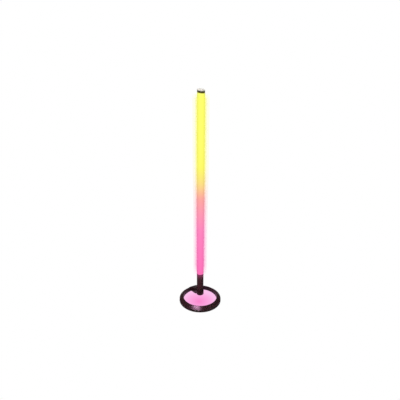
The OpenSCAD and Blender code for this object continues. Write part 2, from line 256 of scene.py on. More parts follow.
def place(piece, body, material, slot, *nodes):
    """Gives a piece its finish and its body, and hides the CAD nodes it stands for. The slot is not used."""
    piece.data.materials.clear()
    piece.data.materials.append(material)
    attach(piece, body)
    if nodes:
        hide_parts(*nodes)
    print(f"{piece.name}: {len(piece.data.polygons)} faces on {body}")


# %% [markdown]
# ## Small tools for finishes
# A finish is a tree of nodes. Written out socket by socket it can't be read, so one class wraps a socket
# and lets plain arithmetic build the maths, and another adds any other node from its type, its settings
# and its values. What is the same all over a surface is set straight on the shader.

# %% Arithmetic on sockets


class Wire:
    """One output socket. Arithmetic on it adds Math nodes."""

    def __init__(self, recipe, socket):
        self.recipe, self.socket = recipe, socket

    def math(self, operation, first, second):
        return self.recipe.node("ShaderNodeMath", {"operation": operation}, {0: first, 1: second})

    def __add__(self, other):
        return self.math("ADD", self, other)

    def __sub__(self, other):
        return self.math("SUBTRACT", self, other)

    def __rsub__(self, other):
        return self.math("SUBTRACT", other, self)

    def __mul__(self, other):
        return self.math("MULTIPLY", self, other)

    def __truediv__(self, other):
        return self.math("DIVIDE", self, other)

    def __rtruediv__(self, other):
        return self.math("DIVIDE", other, self)

    __radd__ = __add__
    __rmul__ = __mul__


print("operators that make Math nodes: + - * /")

# %% A finish and what feeds it


class Recipe:
    """A finish: one Principled shader and what feeds it."""

    def __init__(self, name, **shader):
        self.material = bpy.data.materials.new(name)
        self.material.use_nodes = True
        self.tree = self.material.node_tree
        self.tree.nodes.clear()
        self.shader = self.tree.nodes.new("ShaderNodeBsdfPrincipled")
        surface = self.tree.nodes.new("ShaderNodeOutputMaterial")
        self.tree.links.new(self.shader.outputs[0], surface.inputs["Surface"])
        self.here = self.node("ShaderNodeTexCoord", out="Object")
        for socket, value in shader.items():
            self.feed(socket.replace("_", " "), value)

    def node(self, kind, settings=None, values=None, out=0):
        """Any node, from its type, its settings and what goes into its sockets."""
        made = self.tree.nodes.new(kind)
        for key, value in (settings or {}).items():
            if key == "stops":
                self.set_stops(made.color_ramp, value)
            else:
                setattr(made, key, value)
        for socket, value in (values or {}).items():
            self.plug(made.inputs[socket], value)
        return Wire(self, made.outputs[out])

    def set_stops(self, ramp, stops):
        while len(ramp.elements) < len(stops):
            ramp.elements.new(1)
        for element, (position, colour) in zip(ramp.elements, stops):
            element.position = position
            element.color = colour

    def plug(self, socket, value):
        if isinstance(value, Wire):
            self.tree.links.new(value.socket, socket)
        else:
            socket.default_value = value

    def feed(self, socket, value):
        names = {i.name.lower(): i for i in self.shader.inputs}
        self.plug(names[socket.lower()], value)

    def noise(self, scale, detail=2, stretch=None):
        at = self.here
        if stretch:
            at = self.node("ShaderNodeMapping", None, {"Vector": at, "Scale": stretch})
        return self.node("ShaderNodeTexNoise", None, {"Vector": at, "Scale": scale, "Detail": detail})

    def blend(self, share, first, second):
        """A mix of two colours. Sockets 0, 6 and 7 of the node are its factor and its two colours."""
        return self.node("ShaderNodeMix", {"data_type": "RGBA"}, {0: share, 6: first, 7: second}, out=2)

    def bump(self, height, strength, depth):
        self.feed("normal", self.node("ShaderNodeBump", None,
                                      {"Height": height, "Strength": strength, "Distance": depth}))


def colour(code):
    """A shader colour from a six-digit sRGB code."""
    parts = [int(code[i:i + 2], 16) / 255 for i in (0, 2, 4)]
    return tuple(p / 12.92 if p <= 0.04045 else ((p + 0.055) / 1.055) ** 2.4 for p in parts) + (1,)


print("mid grey is", [round(c, 3) for c in colour("808080")[:3]])

# %% [markdown]
# ## Moulded plastic
# The base, the sleeve and the covers are moulded in a brown-black plastic with a satin skin. Up close
# such a skin is never even: the tool leaves a fine grain, handling leaves it slightly shinier in patches,
# and the pigment varies a little. One maker gives them all, each with its own tint, shine and grain. It
# returns the whole recipe, because the sleeve and the head's band get a painted glow of spilled light added
# further on.

# %% Plastics


pigment_scale, handling_scale = 35, 90


def moulded(name, dark, light, shine, grain, depth=0.02 * MM, gloss=0.5, wear=0.1):
    mix = Recipe(name, ior=1.5, specular_ior_level=gloss)
    pigment = mix.noise(pigment_scale, 3)
    handled = mix.noise(handling_scale, 4)
    mix.feed("base color", mix.blend(pigment, colour(dark), colour(light)))
    mix.feed("roughness", shine + wear * (handled - 0.5))
    mix.bump(mix.noise(grain, 3), 0.35, depth)
    return mix


ring_finish = moulded("satin_brown_black", "1c0e0f", "2a1718", 0.25, 1600, gloss=0.35).material
cover_finish = moulded("cover_black", "120d0e", "1c1516", 0.55, 1100).material
inner_black_finish = moulded("inner_black", "101010", "1b1b1c", 0.5, 900).material
panel_finish = moulded("pale_panel", "d3d1c4", "dedccf", 0.6, 1900, 0.012 * MM, 0.15).material
button_finish = moulded("pale_button", "dcdbd5", "e8e6df", 0.5, 1900, 0.01 * MM, 0.25).material
inner_white_finish = moulded("inner_white", "dad9d4", "ececea", 0.5, 900).material
icon_finish = moulded("icon_grey", "55554f", "64645c", 0.5, 1500).material
print("plastics made")

# %% [markdown]
# ## Metal, rubber, boards and leads
# Zinc-plated screws are dull and mottled, an extruded spine has fine lines along its length, and the
# contacts are flashed with gold. Rubber feet are matt with a soft mottle, and a circuit board shows its
# copper tracks as faint lighter lines under green lacquer.

# %% Metals and the rest


def plated(name, base, rough, stretch, scale=500):
    mix = Recipe(name, metallic=1.0)
    streaks = mix.noise(scale, 4, stretch)
    mix.feed("base color", mix.blend(streaks, colour(base), colour("d8d8da")))
    mix.feed("roughness", rough + 0.2 * (streaks - 0.5))
    mix.bump(streaks, 0.2, 0.01 * MM)
    return mix.material


def rubbery(name, dark, light, rough, scale):
    mix = Recipe(name)
    mottle = mix.noise(scale, 4)
    mix.feed("base color", mix.blend(mottle, colour(dark), colour(light)))
    mix.feed("roughness", rough + 0.1 * mottle)
    mix.bump(mottle, 0.4, 0.03 * MM)
    return mix.material


def lacquered_board(name):
    mix = Recipe(name, roughness=0.3)
    tracks = mix.node("ShaderNodeTexVoronoi", {"feature": "DISTANCE_TO_EDGE", "distance": "MANHATTAN"},
                      {"Vector": mix.here, "Scale": 260})
    copper = mix.node("ShaderNodeMath", {"operation": "LESS_THAN"}, {0: tracks, 1: 0.09})
    mix.feed("base color", mix.blend(copper, colour("0d4526"), colour("2b7a45")))
    mix.bump(copper, 0.3, 0.02 * MM)
    return mix.material


zinc_finish = plated("zinc", "9a9b9e", 0.34, (1, 1, 1))
spine_finish = plated("extruded_spine", "b9bbbf", 0.3, (1, 1, 0.02), 900)
gold_finish = plated("gold_flash", "d2a24c", 0.22, (1, 1, 1))
rubber_finish = rubbery("foot_rubber", "0c0c0c", "191919", 0.75, 700)
lead_finish = rubbery("lead_skin", "7a1414", "8f1d1d", 0.4, 400)
parts_finish = rubbery("component_cases", "17181a", "26272a", 0.45, 300)
board_finish = lacquered_board("green_board")
print("metals, rubber and boards made")

# %% [markdown]
# ## The glow
# The frosted tube is lit from inside along its whole length, so its colour is a matter of height: pink
# from the foot, through peach at the middle, to yellow at the head. A ramp on the height gives it, and it
# feeds the emission. The outer skin is a rough, greyish coat, so that the light that leaves at a slant has
# come a longer way through it. That draws the edges of the tube a little deeper than its middle, as a real
# diffuser does.

# %% Glow of the tube
glow_stops = [
    (0.0, "ff6eb9"), (0.25, "ff82be"), (0.38, "ff98b2"), (0.47, "ffa89a"), (0.53, "fdd28c"),
    (0.575, "fbe674"), (0.62, "fdf464"), (0.75, "fffb6c"), (1.0, "ffff6c"),
]
glow_low, glow_high = sleeve_top, face_bottom
frost_tint = (0.65, 0.678, 0.631, 1)


def height_share(mix, low, high, lean=0.0):
    """0 at one height and 1 at another, on planes that rise by lean for each metre to the back."""
    level = mix.node("ShaderNodeVectorMath", {"operation": "DOT_PRODUCT"}, {0: mix.here, 1: (0, -lean, 1)},
                     out="Value")
    return (level - low) / (high - low)


def glowing(name, strength):
    mix = Recipe(name, roughness=0.45, ior=1.45, coat_weight=1.0, coat_roughness=0.35, coat_ior=1.1)
    mix.feed("coat tint", frost_tint)
    stops = [(position, colour(code)) for position, code in glow_stops]
    ramp = mix.node("ShaderNodeValToRGB", {"stops": stops}, {0: height_share(mix, glow_low, glow_high)})
    frost = mix.noise(1400, 2)
    mix.feed("base color", (0.02, 0.015, 0.015, 1))
    mix.feed("emission color", ramp)
    mix.feed("emission strength", strength)
    mix.bump(frost, 0.15, 0.01 * MM)
    return mix.material


diffuser_finish = glowing("lit_diffuser", 1.6)
print("glow runs from", round(glow_low, 3), "to", round(glow_high, 3), "m")

# %% [markdown]
# ## The sleeve, the head's band and the opal lens
# The sleeve and the band are black plastic too, but each has an edge against the lit tube, and the tube's
# light spilling on to it is painted in: a faint emission, strongest at that edge. On the sleeve it dies away
# over a few centimetres, and on the band over its own height, along its slant. The lens under the socket is
# lit from inside.

# %% Sleeve, band and lens finishes
painted_spill_run, band_half = 45 * MM, 5 * MM


def spill_painted_plastic(name, dark, light, far, near, codes, lean=0.0):
    """Plastic with a painted glow of the tube's spilled light, from the height far to the height near, where
    the lit tube is.
    """
    mix = moulded(name, dark, light, 0.33, 1600, gloss=0.25, wear=0.14)
    stops = [(i / (len(codes) - 1), colour(code)) for i, code in enumerate(codes)]
    share = height_share(mix, far, near, lean)
    # Painted light: the tube's light spilling on the black plastic, given as an emission.
    mix.feed("emission color", mix.node("ShaderNodeValToRGB", {"stops": stops}, {0: share}))
    mix.feed("emission strength", 1.0)
    return mix.material


def lit_opal(name, code, strength):
    mix = Recipe(name, roughness=0.4)
    cloud = mix.noise(220, 2)
    mix.feed("base color", mix.blend(cloud, colour("f2d5e4"), colour("ffe9f3")))
    mix.feed("emission color", mix.blend(cloud, colour(code), colour("ffb7dd")))
    mix.feed("emission strength", strength)
    return mix.material


# These colour codes are the painted spill of the tube's light: pink at the sleeve's top, olive-yellow along
# the band.
sleeve_finish = spill_painted_plastic("sleeve_black", "2e1719", "412427", glow_low - painted_spill_run, glow_low,
                       ["000000", "150c10", "381823", "441530"])
band_low, band_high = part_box("top_band")
band_middle = (band_low.z + band_high.z) / 2
band_finish = spill_painted_plastic("gloss_band", "100d07", "1a150a", band_middle + band_half, band_middle - band_half,
                     ["302d0a", "454110", "6f6a22"], math.tan(face_tilt))
lens_finish = lit_opal("opal_lens", "ff7cc4", 1.5)
phosphor_finish = rubbery("phosphor", "e7c93c", "f3dd68", 0.6, 900)
print("sleeve, band and lens finishes made")

# %% [markdown]
# ## The ring
# The ring is a hollow moulding: a tall inner wall, a straight slope down to a low outer wall, and round
# edges between them. Its section is spun on the lathe. The same straight line touches both round edges,
# so its slope is worked out from their centres. The window for the arm and the hole for the power inlet
# are then cut through the wall.

# %% Ring section
inner_round, outer_round = 3 * MM, 4 * MM
outer_wall_top = 10.4 * MM
ring_wall = 2.4 * MM
inner_edge = (hole_r + inner_round, ring_top - inner_round)
outer_edge = (ring_r - outer_round, outer_wall_top)
edge_drop = inner_edge[1] - outer_edge[1]
edge_run = outer_edge[0] - inner_edge[0]
edge_gain = math.asin((outer_round - inner_round) / math.hypot(edge_drop, edge_run))
slope = math.atan2(edge_drop, edge_run) - edge_gain
slope_turn = 90 - math.degrees(slope)


def ring_line(inset, bottom):
    """The outside of the ring's section, or the same line a wall's thickness inside it."""
    return ([(hole_r + inset, bottom)]
            + arc(inner_edge, inner_round - inset, 180, slope_turn, 10)
            + arc(outer_edge, outer_round - inset, slope_turn, 0, 12)
            + [(ring_r - inset, bottom)])


def ring_surface(distance):
    """Height of the ring's slope at a distance from the axis."""
    touch_r = inner_edge[0] + inner_round * math.sin(slope)
    touch_z = inner_edge[1] + inner_round * math.cos(slope)
    return touch_z - (distance - touch_r) * math.tan(slope)


print(f"the ring slopes down at {math.degrees(slope):.1f} degrees")

# %% Ring
inner_break, outer_break = 0.5 * MM, 0.6 * MM
inlet_r, inlet_z, inlet_y, inlet_deep = 4.15 * MM, 7.3 * MM, 112 * MM, 12 * MM
window_near, window_far, window_floor = 90 * MM, 101 * MM, 8.3 * MM


def wall_window(name, half, top):
    """A cutter through the inner wall at the back, as wide as the arm's prongs or its lead."""
    return block(name, (-half, window_near, window_floor), (half, window_far, top))


outer_line = ring_line(0, ring_bottom + inner_break)
inner_line = ring_line(ring_wall, ring_bottom)[::-1]
lip = [(ring_r - outer_break, ring_bottom), *inner_line, (hole_r + inner_break, ring_bottom)]
ring = lathe("ring", outer_line + lip, 240)
towards_back = Matrix.Translation((0, inlet_y, inlet_z)) @ Matrix.Rotation(-math.pi / 2, 4, "X")
inlet_hole = moved(cylinder("inlet_hole", inlet_r, 0, inlet_deep), towards_back)
prong_window = wall_window("window", 18.3 * MM, 13.3 * MM)
lead_window = wall_window("lead_window", 4 * MM, 17.3 * MM)
carve(ring, inlet_hole, prong_window, lead_window)
place(ring, "base", ring_finish, "base_black", "ring_shell")

# %% [markdown]
# ## The arm
# Seen from the side the arm runs between two curves: one from the rim of the socket down over the ring,
# and one under it. Seen from above it is slim in the middle and flares where it saddles the ring. So it is
# a loft: at each step along the arm there is one rounded section between the two curves. Over the ring the
# section bends with the ring's cone, so that its end melts into the slope instead of standing on corners.

# %% Arm curves
# the arm's points are (distance from the tube's axis, height or half width) in mm
arm_top_curve = [(20.4, 78.6), (24, 64), (64, 64), (97, 32.6)]
arm_saddle = [(100, 29.95), (105, 25.9), (110, 21.5), (114, 17.3)]
arm_under_curve = [(15.5, 41), (22, 18), (70, 24), (96.8, 8.5)]
arm_widths = [(0, 19), (34, 18.2), (60, 18.2), (84, 20), (113, 23)]


def bezier(points, share):
    """A point on the curve of four control points."""
    weights = ((1 - share) ** 3, 3 * share * (1 - share) ** 2, 3 * share ** 2 * (1 - share), share ** 3)
    return tuple(sum(w * p[k] for w, p in zip(weights, points)) for k in (0, 1))


def height_on(points, tail=()):
    """A function that gives the height of a curve at a distance from the tube's axis, in metres."""
    line = [bezier(points, i / 60) for i in range(61)] + list(tail)
    line.sort()
    ys, zs = [p[0] * MM for p in line], [p[1] * MM for p in line]
    return lambda y: float(np.interp(y, ys, zs))


arm_roof = height_on(arm_top_curve, arm_saddle)
arm_floor = height_on(arm_under_curve)


def arm_half(y):
    """Half the arm's width at a distance from the tube's axis."""
    ys, widths = zip(*arm_widths)
    return float(np.interp(y / MM, ys, widths)) * MM


print("the arm is", round((arm_roof(0.05) - arm_floor(0.05)) / MM, 1), "mm deep, 50 mm from the tube")

# %% Arm
saddle_start, saddle_sink, saddle_depth = hole_r + 0.6 * MM, 1.5 * MM, 3 * MM
hug_run = 9 * MM
softest, saddle_soft, softening = 6 * MM, 2.2 * MM, 0.3
firmest = 3.5 * MM


def arm_section(y):
    """A rounded section of the arm, counter-clockwise seen from the back."""
    half, top = arm_half(y), arm_roof(y)
    low = arm_floor(y)
    if y > saddle_start:
        low = min(ring_surface(math.hypot(y, half)) - saddle_sink, top - saddle_depth)
    depth = top - low
    soft = min(softest, saddle_soft + max(hole_r - y, 0) * softening, 0.42 * depth)
    firm = min(firmest, 0.3 * depth)
    edge = rounded([(-half, low, firm), (half, low, firm), (half, top, soft), (-half, top, soft)], 7)
    hug = min(max((y - hole_r) / hug_run, 0), 1)
    section = []
    for x, z in edge:
        fall = ring_surface(y) - ring_surface(math.hypot(x, y))
        section.append((x, y, z - hug * (z - low) / depth * fall))
    return section


# in mm: every 1.5 mm to the ring, two where the underside steps up on to it, and every 1 mm over it
arm_steps = [3 + i * 1.5 for i in range(63)] + [97.55, 97.7] + [99 + i for i in range(16)]
arm = loft("arm", [arm_section(y * MM) for y in arm_steps])
carve(arm, cylinder("socket_room", collar_r - 1.1 * MM, 30 * MM, 90 * MM, 160))
place(arm, "base", ring_finish, "base_black")

# %% [markdown]
# ## The socket
# The collar that holds the tube is turned: a short cup with a web across it, open below for the small
# light and above for the tube. Its liner, the spring contacts and the opal lens are CAD pieces, so the
# collar only has to leave their room.

# %% Socket collar
collar_low, collar_high = 41 * MM, 79 * MM
web_low, web_high, web_hole, socket_r = 48.5 * MM, 50.5 * MM, 6.5 * MM, 18.3 * MM
collar_outline = rounded([
    (socket_r, collar_low, 0.3 * MM), (collar_r, collar_low, 0.9 * MM), (collar_r, collar_high, 0.8 * MM),
    (socket_r, collar_high, 0.4 * MM), (socket_r, web_high, 0), (web_hole, web_high, 0),
    (web_hole, web_low, 0), (socket_r, web_low, 0)])
collar = lathe("socket_collar", collar_outline, 160)
place(collar, "base", ring_finish, "base_black", "support_arm")

# %% [markdown]
# ## The arm's underside
# A flush plate closes the arm over its lead. It follows the same lower curve, a hair proud of it, and two
# screws hold it. The plate is the same loft as the arm, only thinner and narrower.

# %% Arm cover
plate_half, plate_thick, plate_proud = 9.9 * MM, 2 * MM, 0.15 * MM
plate_start, plate_step, plate_sections = 40.1 * MM, 1.245 * MM, 41


def plate_section(y):
    """A section of the closing plate, along the arm's lower curve."""
    low = arm_floor(y) - plate_proud
    high = low + plate_thick
    edge = rounded([(-plate_half, low, 0.4 * MM), (plate_half, low, 0.4 * MM),
                    (plate_half, high, 0.3 * MM), (-plate_half, high, 0.3 * MM)], 3)
    return [(x, y, z) for x, z in edge]


plate_places = [plate_start + i * plate_step for i in range(plate_sections)]
cover_plate = loft("arm_cover_plate", [plate_section(y) for y in plate_places])
place(cover_plate, "base", cover_finish, "cover_black", "arm_cover")

# %% [markdown]
# ## Tube, sleeve and head
# These share one tilted cut: the head slopes down to the front, and the black band and the pale face are
# parallel to it. Each is turned upright on the lathe first, and then its upper end is leaned over. A
# turned wall stays true to its cylinder that way, and the rounding of its rim is kept.

# %% Sleeve
sleeve = lathe("sleeve", rounded([
    (bore_r, sleeve_bottom, 0.2 * MM), (tube_r, sleeve_bottom, 0.5 * MM),
    (tube_r, sleeve_top, 0.15 * MM), (bore_r, sleeve_top, 0.1 * MM)]), 160)
place(sleeve, "stick", sleeve_finish, "sleeve_black", "lower_sleeve")

# %% Diffuser
band_height, panel_height = 10 * MM, 4 * MM
top_z = 1181 * MM
panel_z = top_z - panel_height
band_z = panel_z - band_height
seam = 0.1 * MM
lit_low, lit_high = sleeve_top + seam, band_z - seam
lit_rows = 24
foot_break, head_break = 0.1 * MM, 0.2 * MM


def slant(piece, from_z, to_z):
    """Leans a turned piece's upper end to the face's tilt: none below from_z, all of it above to_z."""
    for v in piece.data.vertices:
        share = min(max((v.co.z - from_z) / (to_z - from_z), 0), 1)
        v.co.z += share * math.tan(face_tilt) * v.co.y
    return finish_mesh(piece)


outside = [(tube_r, lit_low + (lit_high - lit_low) * i / lit_rows) for i in range(1, lit_rows)]
inside = [(bore_r, z) for _, z in reversed(outside)]
lit_foot = [(bore_r, lit_low), (tube_r - foot_break, lit_low), (tube_r, lit_low + foot_break)]
lit_head = [(tube_r, lit_high - head_break), (tube_r - head_break, lit_high), (bore_r, lit_high)]
diffuser = lathe("diffuser", lit_foot + outside + lit_head + inside, 160)
slant(diffuser, face_bottom - 60 * MM, face_bottom - 20 * MM)
place(diffuser, "stick", diffuser_finish, "diffuser", "diffuser_tube")

# %% Band and face
floor_level, all_leant = 0, 1 * MM
band = lathe("head_band", rounded([
    (bore_r, band_z, 0), (tube_r, band_z, 0.35 * MM),
    (tube_r, panel_z, 0.5 * MM), (bore_r, panel_z, 0)]), 160)
slant(band, floor_level, all_leant)
place(band, "stick", band_finish, "band_black", "top_band")

power_r, small_r, button_gap = 5 * MM, 3.2 * MM, 0.2 * MM
buttons = {
    "power_button": ((0, -6 * MM), power_r),
    "mode_button": ((-7.6 * MM, 6.2 * MM), small_r),
    "link_button": ((7.6 * MM, 6.2 * MM), small_r),
}
on_face = Matrix.Translation((0, 0, top_z)) @ Matrix.Rotation(face_tilt, 4, "X")
face = lathe("head_face", rounded([
    (0, panel_z, 0), (panel_r, panel_z, 0.2 * MM), (panel_r, top_z, 1.1 * MM), (0, top_z, 0)], 6), 160)
slant(face, floor_level, all_leant)
wells = [moved(cylinder(f"{name}_well", radius + button_gap, -20 * MM, 5 * MM, 72),
               on_face @ Matrix.Translation((*spot, 0))) for name, (spot, radius) in buttons.items()]
carve(face, *wells)
place(face, "stick", panel_finish, "panel_white", "top_panel")

# %% [markdown]
# ## Buttons
# Each button is a low cap with a dished top and a flange below the face that keeps it in. The marks on
# them are plain signs that any such light has: a power sign, a ring and a pair of bars. They are thin
# inlays that ride with their button.

# %% Button caps


def dished_cap(radius):
    """A button's outline: hollow top, round rim, side and flange."""
    rim, proud, hollow = 0.5 * MM, 0.8 * MM, 0.25 * MM
    flange_r, flange_top, flange_low = radius + 0.7 * MM, -4.4 * MM, -5.4 * MM
    dish = [(radius * s, proud - hollow * math.cos(s * math.pi / 2)) for s in (0, 0.2, 0.4, 0.6, 0.78)]
    side = arc((radius - rim, proud - rim), rim, 90, 0, 6)
    flange = [(radius, flange_top), (flange_r, flange_top), (flange_r, flange_low), (0, flange_low)]
    return dish + side + flange


def sweep(points, half_width, low, high, closed=False):
    """A flat bar of even width along points in the button's plane."""
    loops = []
    for i, p in enumerate(points):
        back = points[i - 1] if i or closed else p
        on = points[(i + 1) % len(points)] if i < len(points) - 1 or closed else p
        way = (Vector(on) - Vector(back)).normalized()
        side = Vector((-way.y, way.x)) * half_width
        a, b = Vector(p) + side, Vector(p) - side
        loops.append([(a.x, a.y, low), (b.x, b.y, low), (b.x, b.y, high), (a.x, a.y, high)])
    return loops


def mark_loops(name):
    """The lines of each button's sign, and whether each line closes on itself."""
    low, high = 0.4 * MM, 0.62 * MM
    broad, fine = 0.3 * MM, 0.24 * MM
    if name == "power_button":
        open_ring, stroke = arc((0, 0), 2.3 * MM, 130, 410, 32), [(0, 0.9 * MM), (0, 3.1 * MM)]
        return [(sweep(line, broad, low, high), False) for line in (open_ring, stroke)]
    if name == "mode_button":
        return [(sweep(arc((0, 0), 1.3 * MM, 0, 352.5, 47), fine, low, high, True), True)]
    bars = [[(x, -1.2 * MM), (x, 1.2 * MM)] for x in (-0.7 * MM, 0.7 * MM)]
    return [(sweep(bar, fine, low, high), False) for bar in bars]


for name, (spot, radius) in buttons.items():
    seat_of = on_face @ Matrix.Translation((*spot, 0))
    cap = moved(lathe(f"{name}_cap", dished_cap(radius), 72), seat_of)
    place(finish_mesh(cap), name, button_finish, "button_white", name)
    for i, (loops, closed) in enumerate(mark_loops(name)):
        mark = moved(loft(f"{name}_mark_{i}", loops, closed), seat_of)
        place(mark, name, icon_finish, "inner_black")

# %% [markdown]
# ## What repeats under the ring
# Six rubber feet and six screws sit in pairs round the ring. A node tree makes both: it drops points in
# pairs round a circle, puts a copy of a small piece on each and turns it to face outwards. The tree's
# inputs carry the sizes, so the same tree serves the feet and the screws.

# %% Pairs round a circle


def pairs_tree(name, material):
    """Copies a piece to pairs of places round the axis."""
    tree = bpy.data.node_groups.new(name, "GeometryNodeTree")
    sockets = tree.interface
    sockets.new_socket("Geometry", in_out="OUTPUT", socket_type="NodeSocketGeometry")
    for label, kind in (("Piece", "Object"), ("Pairs", "Int"), ("Radius", "Float"),
                        ("Start", "Float"), ("Spread", "Float")):
        sockets.new_socket(label, in_out="INPUT", socket_type=f"NodeSocket{kind}")
    made = {}

    def node(kind, key, links=(), **settings):
        """A node under a name. Its sockets take a value, or a (name, output) pair as a link."""
        made[key] = tree.nodes.new(kind)
        for setting, value in settings.items():
            setattr(made[key], setting, value)
        for socket, source in dict(links).items():
            if isinstance(source, tuple):
                tree.links.new(made[source[0]].outputs[source[1]], made[key].inputs[socket])
            else:
                made[key].inputs[socket].default_value = source

    def maths(key, operation, *terms):
        node("ShaderNodeMath", key, dict(enumerate(terms)), operation=operation)

    node("NodeGroupInput", "given")
    node("GeometryNodeInputIndex", "index")
    maths("count", "MULTIPLY", ("given", "Pairs"), 2)
    maths("half_index", "DIVIDE", ("index", 0), 2)
    maths("pair", "FLOOR", ("half_index", 0))
    maths("second", "MODULO", ("index", 0), 2)
    maths("side", "MULTIPLY_ADD", ("second", 0), 2, -1)
    maths("step", "DIVIDE", 2 * math.pi, ("given", "Pairs"))
    maths("middle", "MULTIPLY_ADD", ("pair", 0), ("step", 0), ("given", "Start"))
    maths("turn", "MULTIPLY_ADD", ("side", 0), ("given", "Spread"), ("middle", 0))
    maths("cos", "COSINE", ("turn", 0))
    maths("sin", "SINE", ("turn", 0))
    maths("x", "MULTIPLY", ("cos", 0), ("given", "Radius"))
    maths("y", "MULTIPLY", ("sin", 0), ("given", "Radius"))
    node("ShaderNodeCombineXYZ", "spot", {"X": ("x", 0), "Y": ("y", 0)})
    node("ShaderNodeCombineXYZ", "facing", {"Z": ("turn", 0)})
    node("GeometryNodePoints", "points", {"Count": ("count", 0), "Position": ("spot", 0)})
    node("GeometryNodeObjectInfo", "piece", {"Object": ("given", "Piece")})
    node("GeometryNodeInstanceOnPoints", "copies",
         {"Points": ("points", 0), "Instance": ("piece", "Geometry"), "Rotation": ("facing", 0)})
    node("GeometryNodeRealizeInstances", "real", {"Geometry": ("copies", 0)})
    node("GeometryNodeSetMaterial", "finished", {"Geometry": ("real", 0), "Material": material})
    node("NodeGroupOutput", "result", {"Geometry": ("finished", 0)})
    return tree


def round_the_ring(name, piece, material, pairs, radius, start, spread):
    """One mesh of copies of a piece, in pairs round the axis."""
    tree = pairs_tree(f"{name}_pairs", material)
    holder = bpy.data.objects.new(name, bpy.data.meshes.new(name))
    bpy.context.scene.collection.objects.link(holder)
    maker = holder.modifiers.new("pairs", "NODES")
    maker.node_group = tree
    given = {"Piece": piece, "Pairs": pairs, "Radius": radius, "Start": start, "Spread": spread}
    for socket in tree.interface.items_tree:
        if socket.in_out == "INPUT":
            maker[socket.identifier] = given[socket.name]
    piece.hide_viewport = False
    holder.update_tag()
    bpy.context.view_layer.update()
    return settle(holder, [piece])


foot_r, foot_ring_r = 5.5 * MM, 108 * MM
foot_top = 2.2 * MM
foot = lathe("foot", [(0, 0), (4.4 * MM, 0), (4.6 * MM, 0.35 * MM), (5.1 * MM, 0.35 * MM),
                      (foot_r, 0.8 * MM), (foot_r, foot_top), (0, foot_top)], 40)
feet = round_the_ring("feet", foot, rubber_finish, 3, foot_ring_r, math.radians(60), math.radians(30))
place(feet, "base", rubber_finish, "pad_rubber", "foot_pads")

# %% Cover screws
screw_ring_r, screw_sunk = 107 * MM, 0.1 * MM
hexagon = 6


def screw(name, head_r, head_h, shank_r, length):
    """A pan-head screw, head down, with a hexagonal socket."""
    tip, key_r, key_deep = head_h + length, head_r * 0.45, head_h * 0.5
    body = lathe(name, rounded([(0, 0, 0), (head_r, 0, 0.4 * MM), (head_r, head_h, 0), (shank_r, head_h, 0),
                                (shank_r, tip, 0.3 * MM), (0, tip, 0)], 4), 32)
    return carve(body, cylinder(f"{name}_key", key_r, -1 * MM, key_deep, hexagon))


cover_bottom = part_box("ring_cover")[0].z
cover_screw = moved(screw("cover_screw", 2.6 * MM, 1 * MM, 1.3 * MM, 8 * MM),
                    Matrix.Translation((0, 0, cover_bottom + screw_sunk)))
screws = round_the_ring("ring_screws", cover_screw, zinc_finish, 3, screw_ring_r,
                        math.radians(90), math.radians(14))
place(screws, "base", zinc_finish, "steel", "cover_screws")

# %% [markdown]
# ## Pieces that keep their CAD shape
# Inlet, contacts, liner, boards and everything inside the tube are simple turned or flat pieces, and the
# CAD shape is already the real one. They only need a finish, so a short table gives each its material.

# %% Finishes for the CAD pieces
cad_finishes = {
    cover_finish: ["ring_cover"],
    inner_black_finish: ["socket_liner", "contact_block", "dc_jack", "stick_plug", "top_core"],
    inner_white_finish: ["downlight_board", "tube_joiner", "spine_discs", "led_strips"],
    zinc_finish: ["ballast_weights", "arm_screws", "arm_cover_screws", "board_screws"],
    gold_finish: ["contact_pins", "contact_pads", "dc_pin"],
    spine_finish: ["led_spine"],
    lens_finish: ["downlight_lens"],
    phosphor_finish: ["downlight_leds", "led_chips"],
    lead_finish: ["base_lead", "stick_harness"],
    board_finish: ["driver_board", "button_board"],
    parts_finish: ["driver_components", "tact_switches"],
}
for finish, names in cad_finishes.items():
    for name in names:
        mesh = frame["nodes"][name].data
        mesh.materials.clear()
        mesh.materials.append(finish)
print("finished", sum(len(names) for names in cad_finishes.values()), "CAD pieces")

# %% [markdown]
# ## Studio
# The floor is a plain sheet, white to the eye and dimmer in what the object mirrors. The small light under
# the socket throws a pink pool on it, inside the ring, strongest near the tube. The pool is the light's
# doing and no part of the object, so it is a stage piece: a thin disc whose painted emission fades outwards.
# Under the ring and just past its outer edge the same disc is near-black, a painted contact shadow.

# %% Floor and pool of light
black, white = (0, 0, 0, 1), (1, 1, 1, 1)


def stage_disc(name, radius, z, material):
    """A flat disc of the stage, which is no part of the object."""
    rim = 128
    turns = [2 * math.pi * i / rim for i in range(rim)]
    verts = [(radius * math.cos(a), radius * math.sin(a), z) for a in turns]
    disc = mesh_piece(name, verts, [tuple(range(rim))])
    disc.data.materials.append(material)


def floor_material():
    """White to the eye, but a dim grey in what the object mirrors and is lit by."""
    mix = Recipe("studio_floor", roughness=1.0, specular_ior_level=0.0)
    seen = mix.node("ShaderNodeLightPath", out="Is Camera Ray")
    cloud = mix.noise(3, 2)
    grey = mix.blend(cloud, (0.2, 0.2, 0.2, 1), (0.22, 0.22, 0.22, 1))
    mix.feed("base color", mix.blend(seen, grey, black))
    mix.feed("emission color", mix.blend(seen, black, white))
    mix.feed("emission strength", 1.0)
    return mix.material


